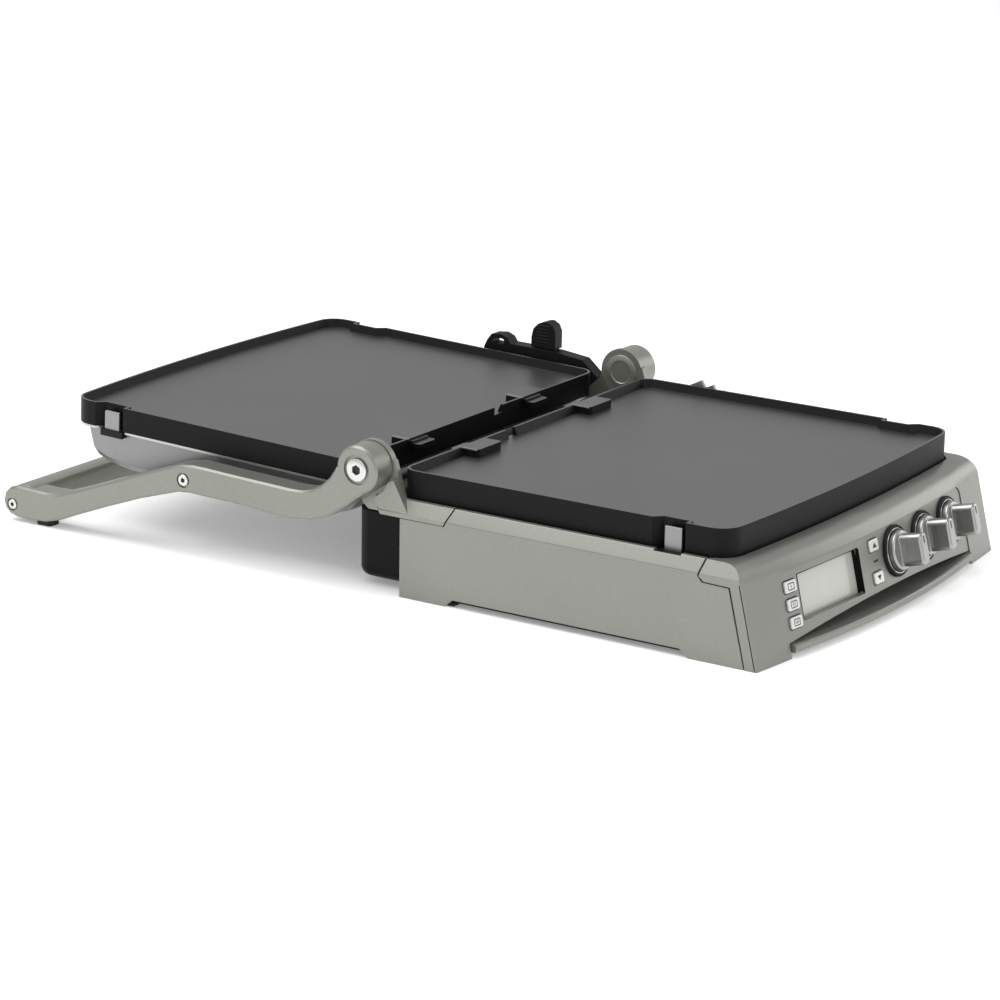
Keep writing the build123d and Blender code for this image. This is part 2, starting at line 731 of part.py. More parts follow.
# ---- arms and handle ----
def build_arm(sign):
    """Cast arm: hinge barrel, crooked neck, straight run, elbow and the fall to the handle."""
    with BuildPart() as arm:
        with BuildSketch(side(sign * ARM_IN)):
            with BuildLine():
                Polyline((-3.5, 74.0), (13, 62), (27, 52.5), (43, 47.3), (60, 45.6), (86, 47), (113, 48.4), (136, 48.8),
                         (150, 49.2), (160, 48.4), (169, 45.6), (196, 37.2), (224, 26.8), (252, 15.8), (271, 8),
                         (285, 4.2), (300, 3.4), (312, 3.6), (319, 5), (323.6, 9.4), (325, 15), (323.4, 21),
                         (318, 26), (311, 27.8), (286, 26.8), (272, 27.6), (252, 34.4), (224, 45.2), (196, 55.7),
                         (167, 66.2), (157, 69.2), (147, 70.4), (136, 70.2), (113, 69.2), (86, 68.2), (60, 67.4),
                         (49, 67.8), (40, 70.4), (32.5, 75), (25.5, 81.5), (20, 90), (AXIS_Y, AXIS_Z), close=True)
            make_face()
            with Locations((AXIS_Y, AXIS_Z)):
                Circle(BARREL_R)
        extrude(amount=sign * (ARM_OUT - ARM_IN))
        outer = arm.faces().filter_by(Axis.X).sort_by(Axis.X)[0 if sign < 0 else -1]
        chamfer(outer.edges(), length=1.6)
        with BuildSketch(side(sign * ARM_IN)):
            with Locations((AXIS_Y, AXIS_Z)):
                Circle(PIN_R + RUNNING)
            with Locations(ELBOW):
                Circle(LID_PIVOT_R + RUNNING)
        extrude(amount=sign * 13, mode=Mode.SUBTRACT)
        with BuildSketch(side(sign * ARM_OUT)):
            with Locations((AXIS_Y, AXIS_Z)):
                Circle(10.7)
            with Locations(ELBOW):
                Circle(5.6)
            with Locations(TIP):
                Circle(4.9)
        extrude(amount=-sign * 1.6, mode=Mode.SUBTRACT)
        with BuildSketch(side(sign * (ARM_IN - 1))):
            with Locations((313, 15)):
                Rectangle(29, 30)
        extrude(amount=sign * 15.2, mode=Mode.SUBTRACT)
    return arm.part


with BuildPart() as arm_left:
    add(build_arm(-1))
arm_left.part.label = "arm_left"
export_step(arm_left.part, "parts/arm_left.step")

with BuildPart() as arm_right:
    add(build_arm(1))
arm_right.part.label = "arm_right"
export_step(arm_right.part, "parts/arm_right.step")

with BuildPart() as handle_bar:
    with BuildSketch(side(-185.1)):
        with BuildLine():
            Polyline((298.6, 7), (298.6, 22), (301, 26.6), (305, 28), (314, 27.4), (320, 24.6), (323.6, 19), (324, 13),
                     (322, 8), (317, 4.6), (310, 3.6), (302, 4), close=True)
        make_face()
    extrude(amount=370.2)
handle_bar.part.label = "handle_bar"
export_step(handle_bar.part, "parts/handle_bar.step")


def build_screws(spot, radius, proud):
    """Pair of socket screws, one on each arm, seated in their counterbores."""
    with BuildPart() as screws:
        for sign in (-1, 1):
            with BuildSketch(side(sign * (ARM_OUT - 1.6))):
                with Locations(spot):
                    Circle(radius)
            extrude(amount=sign * (1.6 + proud))
            with BuildSketch(side(sign * (ARM_OUT + proud))):
                with Locations(spot):
                    RegularPolygon(radius * 0.36, 6)
            extrude(amount=-sign * 1.4, mode=Mode.SUBTRACT)
    return screws.part


with BuildPart() as hinge_screws:
    add(build_screws((AXIS_Y, AXIS_Z), 9.5, 0.4))
hinge_screws.part.label = "hinge_screws"
export_step(hinge_screws.part, "parts/hinge_screws.step")

with BuildPart() as elbow_screws:
    add(build_screws(ELBOW, 4.7, 0.2))
elbow_screws.part.label = "elbow_screws"
export_step(elbow_screws.part, "parts/elbow_screws.step")

with BuildPart() as handle_screws:
    add(build_screws(TIP, 4.0, 0.2))
handle_screws.part.label = "handle_screws"
export_step(handle_screws.part, "parts/handle_screws.step")

with BuildPart() as handle_pads:
    for sign in (-1, 1):
        with BuildSketch(level(0)):
            with Locations((sign * 180, 290)):
                RectangleRounded(12, 14, 3)
        extrude(amount=6)
    with BuildSketch(side(0)):
        with BuildLine():
            Polyline((252, 15.8), (271, 8), (285, 4.2), (300, 3.4), (300, 30), (252, 30), close=True)
        make_face()
    extrude(amount=200, both=True, mode=Mode.SUBTRACT)
handle_pads.part.label = "handle_pads"
export_step(handle_pads.part, "parts/handle_pads.step")

with BuildPart() as lever_housing:
    with BuildSketch(side(177.0)):
        with BuildLine():
            Polyline((33, 74.9), (31, 80), (45, 91.8), (70, 94.6), (112, 95.4), (115, 99.6), (121, 102), (130, 101),
                     (134, 96), (137, 90), (138, 70.6), (113, 69.5), (86, 68.5), (60, 67.7), (49, 68.1), (40, 70.7),
                     close=True)
        make_face()
        with Locations((124, 96)):
            SlotOverall(12, 4.4, mode=Mode.SUBTRACT)
    extrude(amount=11.4)
    with Locations(at(182.7, 81.5, 84)):
        Box(6.8, 19.2, 40, mode=Mode.SUBTRACT)
lever_housing.part.label = "lever_housing"
export_step(lever_housing.part, "parts/lever_housing.step")

with BuildPart() as release_lever:
    with BuildSketch(side(177.4)):
        with BuildLine():
            Polyline((70.6, 95.8), (70.6, 110), (73, 115), (78, 117.6), (82, 117), (87, 115), (91.4, 110.5), (93, 104),
                     (93, 95.8), close=True)
        make_face()
    extrude(amount=11)
    with Locations(at(182.7, 81.5, 86)):
        Box(6.2, 18.4, 20)
release_lever.part.label = "release_lever"
export_step(release_lever.part, "parts/release_lever.step")

# ---- lid ----
def lid_tub(points, half, bevel):
    """Crowned tub of the lid, with bevelled long edges."""
    with BuildPart() as tub:
        with BuildSketch(lid_side(-half)):
            with BuildLine():
                Polyline(points, close=True)
            make_face()
        extrude(amount=2 * half)
        low = tub.faces().filter_by(lambda f: f.normal_at().Z < -0.2).edges()
        chamfer(low.filter_by(lambda e: abs(abs(e.center().X) - half) < 0.5), length=bevel)
    return tub.part


with BuildPart() as lid_shell:
    add(lid_tub([(25, -20.8), (25, -33), (30, -40), (42, -44.5), (70, -47.4), (110, -50), (155, -51.4), (200, -51),
                 (232, -49.4), (250, -46.8), (260, -43), (265, -38), (267.4, -30), (267.8, -20.8)],
                LID_SHELL_X, 6))
    add(lid_tub([(27.6, -17), (27.6, -32), (32, -37.6), (43, -41.9), (70, -44.8), (110, -47.4), (155, -48.8),
                 (200, -48.4), (231, -46.8), (248, -44.4), (257.4, -41), (262.4, -36.6), (264.8, -29.6), (265.2, -17)],
                LID_SHELL_X - 2.6, 6), mode=Mode.SUBTRACT)
    for sign in (-1, 1):
        with BuildSketch(side(sign * (LID_SHELL_X - 2))):
            with Locations(ELBOW):
                Circle(9)
        extrude(amount=sign * (ARM_IN - LID_SHELL_X + 1.6))
        with BuildSketch(side(sign * (ARM_IN - 1))):
            with Locations(ELBOW):
                Circle(LID_PIVOT_R)
        extrude(amount=sign * 12)
lid_shell.part.label = "lid_shell"
export_step(lid_shell.part, "parts/lid_shell.step")

with BuildPart() as lid_pan:
    add(build_pan(lid_level, -LID_RIM_DEEP - 0.4, 9, True))
lid_pan.part.label = "lid_pan"
export_step(lid_pan.part, "parts/lid_pan.step")

with BuildPart() as lid_element:
    add(build_element(lid_level, -16.6, -1))
lid_element.part.label = "lid_element"
export_step(lid_element.part, "parts/lid_element.step")

with BuildPart() as upper_plate:
    add(build_plate(lid_level, 0, True))
upper_plate.part.label = "upper_plate"
export_step(upper_plate.part, "parts/upper_plate.step")

with BuildPart() as clip_lid_left:
    add(build_clip(lid_level, 0, 22.6, -163.6, -1))
clip_lid_left.part.label = "clip_lid_left"
export_step(clip_lid_left.part, "parts/clip_lid_left.step")

with BuildPart() as clip_lid_right:
    add(build_clip(lid_level, 0, 22.6, 163.6, -1))
clip_lid_right.part.label = "clip_lid_right"
export_step(clip_lid_right.part, "parts/clip_lid_right.step")

with BuildPart() as clip_sockets_lid:
    add(build_clip_socket(lid_level, -23.6, -18.7, LID_SHELL_X, 166.2, -163, -1))
    add(build_clip_socket(lid_level, -23.6, -18.7, LID_SHELL_X, 166.2, 163, -1))
clip_sockets_lid.part.label = "clip_sockets_lid"
export_step(clip_sockets_lid.part, "parts/clip_sockets_lid.step")
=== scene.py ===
"""Looks of a contact grill that stands opened flat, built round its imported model."""
import json
import math
import bmesh
import bpy
from mathutils import Matrix, Vector


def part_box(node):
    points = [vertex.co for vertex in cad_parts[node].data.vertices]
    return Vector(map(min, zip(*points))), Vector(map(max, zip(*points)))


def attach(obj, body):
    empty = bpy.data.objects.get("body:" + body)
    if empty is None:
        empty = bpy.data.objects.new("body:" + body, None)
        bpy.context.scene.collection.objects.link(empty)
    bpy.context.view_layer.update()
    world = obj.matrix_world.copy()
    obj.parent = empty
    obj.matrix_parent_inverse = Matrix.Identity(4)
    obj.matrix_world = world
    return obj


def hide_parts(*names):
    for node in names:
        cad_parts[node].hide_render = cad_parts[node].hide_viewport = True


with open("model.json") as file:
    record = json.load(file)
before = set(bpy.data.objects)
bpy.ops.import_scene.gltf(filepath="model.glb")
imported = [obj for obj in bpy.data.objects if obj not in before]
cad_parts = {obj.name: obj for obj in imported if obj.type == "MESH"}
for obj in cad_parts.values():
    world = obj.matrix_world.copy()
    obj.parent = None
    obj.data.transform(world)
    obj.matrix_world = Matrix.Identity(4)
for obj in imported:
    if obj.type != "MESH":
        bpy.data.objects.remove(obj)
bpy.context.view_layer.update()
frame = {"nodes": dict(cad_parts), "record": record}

bl_info = {
    "name": "Contact grill looks",
    "version": (1, 0, 0),
    "blender": (4, 5, 0),
    "location": "View3D > Sidebar > Grill",
    "description": "Finishes and fine detail of a contact grill opened flat",
    "category": "Object",
}

MM = 0.001
HINGE_Y = 7.75          # hinge line in front of the lid, millimetres
FACE_R = 1423.0         # bow radius of the console
FACE_Y = -325.0
FACE_SLOPE = 0.244      # console leans back by this much per unit of height
SEAM_X = 176.75         # joint between the bowed face and a side panel
SEAM_LOW = 1.0
SEAM_HIGH = 58.0
CAMERA_AT = (-2.2341, -1.43025, 0.7805)     # metres
CAMERA_TURN = (74.143, -0.923, -56.88)      # degrees
STEEP = 0.6             # faces whose normal rises less than this count as the sides of a plate, which take the darker copy of the coating as painted shade
KNOB_Z = 38.4           # height of the knobs up the console
KNOB_XS = (17.3, 61.7, 106.0)
MENU_X = -124.4         # column of the menu buttons
MENU_ZS = (46.2, 34.2, 22.2)
ARROW_X = -13.5         # column of the up and down buttons
ARROW_ZS = (49.2, 26.8)


# ---- small helpers ----
def linear(code):
    """Linear colour with alpha of an sRGB hex code."""
    parts = [int(code[i:i + 2], 16) / 255 for i in (0, 2, 4)]
    return tuple(c / 12.92 if c <= 0.04045 else ((c + 0.055) / 1.055) ** 2.4 for c in parts) + (1.0,)


def put(tree, kind, inputs=None, **settings):
    """Adds one node with its settings; inputs take values or other nodes' outputs."""
    made = tree.nodes.new(kind)
    for name, value in settings.items():
        setattr(made, name, value)
    for key, value in (inputs or {}).items():
        if isinstance(value, bpy.types.NodeSocket):
            tree.links.new(value, made.inputs[key])
        else:
            made.inputs[key].default_value = value
    return made


def face_seat(x, z, lift=0.0):
    """Placement on the console face at a width and height (mm): X along the face, Y up it, Z out of it."""
    radius = FACE_R - FACE_SLOPE * z
    turn = math.asin(x / radius)
    lean = math.atan(FACE_SLOPE)
    y = FACE_Y + FACE_R - math.sqrt(radius * radius - x * x)
    out = Vector((math.sin(turn) * math.cos(lean), -math.cos(turn) * math.cos(lean), math.sin(lean)))
    across = Vector((math.cos(turn), math.sin(turn), 0.0))
    up = out.cross(across)
    seat = (Vector((x, y + HINGE_Y, z)) + out * lift) * MM
    place = Matrix((across, up, out)).transposed().to_4x4()
    place.translation = seat
    return place @ Matrix.Scale(MM, 4)


def spot(x, y, z, turn=Matrix.Identity(4)):
    """Placement at a point measured from the hinge line (mm), with an optional turn."""
    return Matrix.Translation(Vector((x, y + HINGE_Y, z)) * MM) @ turn @ Matrix.Scale(MM, 4)


def prism(outline, low, high, holes=()):
    """Closed prism over a flat outline, between two heights, with straight holes."""
    work = bmesh.new()
    edges = []
    for loop in (outline, *holes):
        ring = [work.verts.new((px, py, low)) for px, py in loop]
        edges += [work.edges.new((ring[i - 1], ring[i])) for i in range(len(ring))]
    base = bmesh.ops.triangle_fill(work, edges=edges, use_beauty=True, use_dissolve=False)
    faces = [f for f in base["geom"] if isinstance(f, bmesh.types.BMFace)]
    raised = bmesh.ops.extrude_face_region(work, geom=faces, use_keep_orig=True)
    tops = [v for v in raised["geom"] if isinstance(v, bmesh.types.BMVert)]
    bmesh.ops.translate(work, verts=tops, vec=(0, 0, high - low))
    bmesh.ops.recalc_face_normals(work, faces=work.faces)
    return work


def lathe(profile, steps=48):
    """Closed ring or disc turned from a profile of (radius, height) points."""
    work = bmesh.new()
    rings = []
    for radius, height in profile:
        if radius < 1e-6:
            rings.append([work.verts.new((0, 0, height))] * steps)
        else:
            turns = [2 * math.pi * i / steps for i in range(steps)]
            circle = [(radius * math.cos(turn), radius * math.sin(turn), height) for turn in turns]
            rings.append([work.verts.new(corner) for corner in circle])
    closed = profile[0][0] > 1e-6
    pairs = list(zip(rings, rings[1:] + rings[:1])) if closed else list(zip(rings, rings[1:]))
    for low, high in pairs:
        for i in range(steps):
            corners = []
            for v in (low[i], low[(i + 1) % steps], high[(i + 1) % steps], high[i]):
                if v not in corners:
                    corners.append(v)
            if len(corners) > 2:
                work.faces.new(corners)
    bmesh.ops.recalc_face_normals(work, faces=work.faces)
    return work


def rounded(wide, high, radius, steps=5):
    """Outline of a rectangle with round corners."""
    points = []
    for k, (sx, sy) in enumerate(((1, 1), (-1, 1), (-1, -1), (1, -1))):
        for i in range(steps + 1):
            angle = math.radians(90 * k + 90 * i / steps)
            points.append((sx * (wide / 2 - radius) + radius * math.cos(angle),
                           sy * (high / 2 - radius) + radius * math.sin(angle)))
    return points


def piece(name, shapes, material, body, sharp=35):
    """One finished object from (mesh, placement) pairs, riding on a body."""
    whole = bmesh.new()
    for shape, place in shapes:
        part = bpy.data.meshes.new("part")
        shape.to_mesh(part)
        shape.free()
        part.transform(place)
        whole.from_mesh(part)
        bpy.data.meshes.remove(part)
    mesh = bpy.data.meshes.new(name)
    whole.to_mesh(mesh)
    whole.free()
    return settle(name, mesh, material, body, sharp)


def settle(name, mesh, material, body, sharp=35):
    """Puts a mesh in the scene as a piece with its finish and body."""
    mesh.materials.clear()
    mesh.materials.append(material)
    mesh.polygons.foreach_set("use_smooth", [True] * len(mesh.polygons))
    if sharp is not None:
        mesh.set_sharp_from_angle(angle=math.radians(sharp))
    made = bpy.data.objects.new(name, mesh)
    bpy.context.scene.collection.objects.link(made)
    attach(made, body)
    return made


def body_with(node):
    """Name of the body that carries a CAD node."""
    for body, members in frame["record"]["behaviour"]["bodies"].items():
        if node in members:
            return body
    raise RuntimeError("no body carries " + node)


def coat_node(node, material):
    """Gives a CAD piece its finish and leaves its shape alone."""
    slots = frame["nodes"][node].material_slots
    if not slots:
        frame["nodes"][node].data.materials.append(material)
    for held in slots:
        held.material = material


def softened(node, width_mm, material, segments=2, angle=30):
    """Detailed copy of a CAD piece, with its sharp edges rounded over as its making leaves them."""
    source = frame["nodes"][node]
    work = bmesh.new()
    work.from_mesh(source.data)
    for layer in list(work.loops.layers.float_vector.values()):
        work.loops.layers.float_vector.remove(layer)
    bmesh.ops.remove_doubles(work, verts=work.verts, dist=3e-6)
    bmesh.ops.dissolve_degenerate(work, edges=work.edges, dist=2e-6)
    bmesh.ops.dissolve_limit(work, angle_limit=math.radians(0.5), verts=work.verts, edges=work.edges)
    rough = bpy.data.meshes.new(node + "_copy")
    work.to_mesh(rough)
    work.free()
    rough.polygons.foreach_set("use_smooth", [True] * len(rough.polygons))
    if "custom_normal" in rough.attributes:
        rough.attributes.remove(rough.attributes["custom_normal"])
    holder = bpy.data.objects.new(node + "_copy", rough)
    bpy.context.scene.collection.objects.link(holder)
    edge = holder.modifiers.new("Edges", "BEVEL")
    edge.width = width_mm * MM
    edge.segments = segments
    edge.limit_method = "ANGLE"
    edge.angle_limit = math.radians(angle)
    edge.use_clamp_overlap = True
    flat = holder.modifiers.new("Flats", "WEIGHTED_NORMAL")
    flat.mode = "FACE_AREA"
    flat.weight = 100
    graph = bpy.context.evaluated_depsgraph_get()
    mesh = bpy.data.meshes.new_from_object(holder.evaluated_get(graph))
    bpy.data.objects.remove(holder)
    bpy.data.meshes.remove(rough)
    mesh.name = node + "_finished"
    made = settle(node + "_finished", mesh, material, body_with(node), sharp=None)
    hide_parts(node)
    return made


# ---- finishes ----
def surface(name, dark, light, grain_mm, rough, bump_mm=0.0, metallic=0.0, stretch=(1, 1, 1), swing=0.06,
            patch_mm=90, coat=0.0, ior=1.5, coat_rough=0.15):
    """Surface whose colour, sheen and relief vary in fine grains and in broad, faint patches."""
    material = bpy.data.materials.new(name)
    material.use_nodes = True
    tree = material.node_tree
    tree.nodes.clear()
    place = put(tree, "ShaderNodeTexCoord")
    scaled = put(tree, "ShaderNodeMapping", {"Vector": place.outputs["Object"], "Scale": stretch})
    fine = put(tree, "ShaderNodeTexNoise", {"Vector": scaled.outputs[0], "Scale": 1000 / grain_mm,
                                            "Detail": 3.0, "Roughness": 0.6})
    broad = put(tree, "ShaderNodeTexNoise", {"Vector": place.outputs["Object"], "Scale": 1000 / patch_mm,
                                             "Detail": 2.0})
    both = put(tree, "ShaderNodeMix", {0: 0.4, 2: fine.outputs[0], 3: broad.outputs[0]}, data_type="FLOAT")
    spread = put(tree, "ShaderNodeMapRange", {"Value": both.outputs[0], "From Min": 0.34, "From Max": 0.66})
    tint = put(tree, "ShaderNodeMix", {0: spread.outputs[0], 6: linear(dark), 7: linear(light)},
               data_type="RGBA")
    sheen = put(tree, "ShaderNodeMapRange", {"Value": both.outputs[0], "From Min": 0.3, "From Max": 0.7,
                                             "To Min": rough - swing, "To Max": rough + swing})
    shader = put(tree, "ShaderNodeBsdfPrincipled", {"Base Color": tint.outputs[2],
                                                    "Roughness": sheen.outputs[0], "Metallic": metallic,
                                                    "IOR": ior, "Coat Weight": coat,
                                                    "Coat Roughness": coat_rough})
    if bump_mm:
        relief = put(tree, "ShaderNodeBump", {"Height": fine.outputs[0], "Strength": 0.6,
                                              "Distance": bump_mm * MM})
        tree.links.new(relief.outputs[0], shader.inputs["Normal"])
    put(tree, "ShaderNodeOutputMaterial", {"Surface": shader.outputs[0]})
    return material


def make_finishes():
    """All finishes of the grill, by the name of what each one is."""
    return {
        # powder-coated steel: fine orange peel about a millimetre across, warm grey with metallic fleck
        "paint": surface("powder_coated_steel", "82837D", "8E8F88", 0.9, 0.36, 0.015, metallic=0.6),
        # painted die casting: a little brighter and smoother, with softer flow patches
        "casting": surface("painted_die_casting", "84857E", "919289", 1.2, 0.36, 0.015, metallic=0.6),
        # non-stick coating on cast aluminium: near black, with pale fleck and a dull sheen
        "coating": surface("non_stick_coating", "0B0C0D", "141516", 0.7, 0.44, 0.006, coat=0.95,
                           coat_rough=0.4),
        # the same coating over the steep sides, set duller and darker so that they read darker than the
        # tops: painted shade of the sides
        "shaded_side_coating": surface("non_stick_side_painted_shade", "060606", "0D0D0E", 0.7, 0.5, 0.006, ior=1.27),
        # stainless spring steel of the plate clips
        "clip": surface("stainless_clip", "868685", "969694", 0.6, 0.36, 0.003, metallic=0.9),
        # cold-rolled steel sheet with faint rolling lines along its length
        "sheet": surface("brushed_steel_sheet", "A9A9A4", "C2C2BD", 0.5, 0.32, 0.01, metallic=1.0,
                         stretch=(0.04, 1, 1)),
        # anodised aluminium sheet, softly blasted
        "lid": surface("anodised_aluminium", "8A8A8B", "989899", 0.8, 0.42, 0.008, metallic=0.8),
        # turned and brushed aluminium of the knobs, lines across the grip
        "knob": surface("brushed_aluminium", "9C9C99", "ACACA9", 0.6, 0.3, 0.0015, metallic=1.0,
                        stretch=(1, 1, 0.04), swing=0.03),
        "chrome": surface("chrome_plate", "A8A8A6", "B6B6B4", 30, 0.12, metallic=1.0, swing=0.02),
        "screw": surface("zinc_plated_steel", "C6C6C3", "DADAD7", 1.0, 0.28, 0.004, metallic=0.85),
        # silver-filled ABS of the small buttons
        "button": surface("silver_abs", "D0D0CD", "DEDEDB", 0.6, 0.28, 0.003, metallic=0.3, coat=0.3),
        # moulded ABS with a fine spark-eroded texture
        "plastic": surface("black_abs", "050505", "0B0B0C", 0.6, 0.55, 0.02, ior=1.35),
        "gloss": surface("black_gloss_abs", "030303", "060606", 40, 0.34, ior=1.22),
        "rubber": surface("moulded_rubber", "121212", "1C1C1C", 1.5, 0.75, 0.03),
        "sheath": surface("oxidised_heater_sheath", "3A3430", "55504A", 2.5, 0.48, 0.02, metallic=0.9),
        "board": surface("circuit_board", "0C3A1E", "124A28", 4, 0.4, 0.01, coat=0.3),
        "glass": surface("display_glass", "B6B8AF", "BEBFB7", 60, 0.2, swing=0.02, coat=0.5,
                         coat_rough=0.08),
        # woven glass sleeve over the wires, grey with wear
        "sleeve": surface("glass_fibre_sleeve", "2A2A2A", "5A5A59", 2.0, 0.6, 0.05),
        "mark": surface("printed_mark", "141414", "1E1E1E", 2, 0.5),
    }


# ---- settings ----
class GrillSettings(bpy.types.PropertyGroup):
    """Sizes and counts that a user would change."""
    edge_round: bpy.props.FloatProperty(name="Edge rounding", description="Radius of painted edges",
                                        default=0.9 * MM, min=0.0, unit="LENGTH")
    rib_count: bpy.props.IntProperty(name="Vent ribs", description="Ribs on each side of the rear housing",
                                     default=16, min=2, max=40)
    rib_radius: bpy.props.FloatProperty(name="Rib radius", description="Radius of one vent rib",
                                        default=1.3 * MM, min=0.0002, unit="LENGTH")
    socket_share: bpy.props.FloatProperty(name="Screw socket", description="Socket as a share of the head",
                                          default=0.5, min=0.2, max=0.7, subtype="FACTOR")
    glyph_line: bpy.props.FloatProperty(name="Symbol line", description="Line width of the button symbols",
                                        default=0.7 * MM, min=0.0002, unit="LENGTH")


FINISH = {}


def settings():
    """The scene's own copy of the settings."""
    return bpy.context.scene.grill


# ---- trees that repeat a shape ----
def group_input(tree, name, kind, default=None):
    """Named input of a geometry tree."""
    made = tree.interface.new_socket(name=name, in_out="INPUT", socket_type=kind)
    if default is not None:
        made.default_value = default
    return made


def screw_tree():
    """Socket screws: a chamfered head with a six-sided recess on every point, turned the same way."""
    tree = bpy.data.node_groups.new("SocketScrews", "GeometryNodeTree")
    group_input(tree, "Geometry", "NodeSocketGeometry")
    group_input(tree, "Head radius", "NodeSocketFloat", 0.004)
    group_input(tree, "Head height", "NodeSocketFloat", 0.001)
    group_input(tree, "Socket share", "NodeSocketFloat", 0.42)
    group_input(tree, "Turn", "NodeSocketVector")
    group_input(tree, "Head", "NodeSocketMaterial")
    group_input(tree, "Recess", "NodeSocketMaterial")
    tree.interface.new_socket(name="Geometry", in_out="OUTPUT", socket_type="NodeSocketGeometry")
    given = put(tree, "NodeGroupInput")
    inner = put(tree, "ShaderNodeMath", {0: given.outputs["Head radius"], 1: given.outputs["Socket share"]},
                operation="MULTIPLY")
    rim = put(tree, "GeometryNodeCurvePrimitiveCircle", {"Resolution": 32,
                                                         "Radius": given.outputs["Head radius"]})
    hexagon = put(tree, "GeometryNodeCurvePrimitiveCircle", {"Resolution": 6, "Radius": inner.outputs[0]})
    loops = put(tree, "GeometryNodeJoinGeometry")
    tree.links.new(rim.outputs[0], loops.inputs[0])
    tree.links.new(hexagon.outputs[0], loops.inputs[0])
    disc = put(tree, "GeometryNodeFillCurve", {"Curve": loops.outputs[0]})
    wall = put(tree, "GeometryNodeExtrudeMesh", {"Mesh": disc.outputs[0], "Individual": False,
                                                 "Offset Scale": given.outputs["Head height"]})
    cap = put(tree, "GeometryNodeExtrudeMesh", {"Mesh": wall.outputs[0], "Selection": wall.outputs["Top"],
                                                "Individual": False, "Offset Scale": 0.3 * MM})
    chamfer = put(tree, "GeometryNodeScaleElements", {"Geometry": cap.outputs[0],
                                                      "Selection": cap.outputs["Top"], "Scale": 0.93})
    head = put(tree, "GeometryNodeSetMaterial", {"Geometry": chamfer.outputs[0],
                                                 "Material": given.outputs["Head"]})
    recess = put(tree, "GeometryNodeMeshCircle", {"Vertices": 6, "Radius": inner.outputs[0]},
                 fill_type="NGON")
    recess_on = put(tree, "GeometryNodeSetMaterial", {"Geometry": recess.outputs[0],
                                                      "Material": given.outputs["Recess"]})
    both = put(tree, "GeometryNodeJoinGeometry")
    tree.links.new(head.outputs[0], both.inputs[0])
    tree.links.new(recess_on.outputs[0], both.inputs[0])
    turn = put(tree, "FunctionNodeEulerToRotation", {0: given.outputs["Turn"]})
    many = put(tree, "GeometryNodeInstanceOnPoints", {"Points": given.outputs["Geometry"],
                                                      "Instance": both.outputs[0],
                                                      "Rotation": turn.outputs[0]})
    real = put(tree, "GeometryNodeRealizeInstances", {"Geometry": many.outputs[0]})
    put(tree, "NodeGroupOutput", {"Geometry": real.outputs[0]})
    return tree


def rib_tree():
    """A straight row of half-sunk round ribs."""
    tree = bpy.data.node_groups.new("RibRow", "GeometryNodeTree")
    group_input(tree, "Geometry", "NodeSocketGeometry")
    group_input(tree, "Count", "NodeSocketInt", 12)
    group_input(tree, "Start", "NodeSocketVector")
    group_input(tree, "Step", "NodeSocketVector")
    group_input(tree, "Turn", "NodeSocketVector")
    group_input(tree, "Radius", "NodeSocketFloat", 0.001)
    group_input(tree, "Length", "NodeSocketFloat", 0.02)
    group_input(tree, "Finish", "NodeSocketMaterial")
    tree.interface.new_socket(name="Geometry", in_out="OUTPUT", socket_type="NodeSocketGeometry")
    given = put(tree, "NodeGroupInput")
    line = put(tree, "GeometryNodeMeshLine", {"Count": given.outputs["Count"],
                                              "Start Location": given.outputs["Start"],
                                              "Offset": given.outputs["Step"]}, mode="OFFSET")
    body = put(tree, "GeometryNodeMeshCylinder", {"Vertices": 10, "Radius": given.outputs["Radius"],
                                                  "Depth": given.outputs["Length"]})
    turn = put(tree, "FunctionNodeEulerToRotation", {0: given.outputs["Turn"]})
    many = put(tree, "GeometryNodeInstanceOnPoints", {"Points": line.outputs[0],
                                                      "Instance": body.outputs[0],
                                                      "Rotation": turn.outputs[0]})
    real = put(tree, "GeometryNodeRealizeInstances", {"Geometry": many.outputs[0]})
    done = put(tree, "GeometryNodeSetMaterial", {"Geometry": real.outputs[0],
                                                 "Material": given.outputs["Finish"]})
    put(tree, "NodeGroupOutput", {"Geometry": done.outputs[0]})
    return tree


def grown(name, tree, values, points, body, sharp=35):
    """Runs a tree on a set of points and keeps the result as a plain mesh piece."""
    seeds = bpy.data.meshes.new(name + "_points")
    seeds.from_pydata([Vector(p) for p in points], [], [])
    holder = bpy.data.objects.new(name + "_points", seeds)
    bpy.context.scene.collection.objects.link(holder)
    grower = holder.modifiers.new("Grow", "NODES")
    grower.node_group = tree
    for item in tree.interface.items_tree:
        if item.in_out == "INPUT" and item.name in values:
            grower[item.identifier] = values[item.name]
    graph = bpy.context.evaluated_depsgraph_get()
    mesh = bpy.data.meshes.new_from_object(holder.evaluated_get(graph))
    bpy.data.objects.remove(holder)
    mesh.polygons.foreach_set("use_smooth", [True] * len(mesh.polygons))
    mesh.set_sharp_from_angle(angle=math.radians(sharp))
    made = bpy.data.objects.new(name, mesh)
    bpy.context.scene.collection.objects.link(made)
    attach(made, body)
    return made


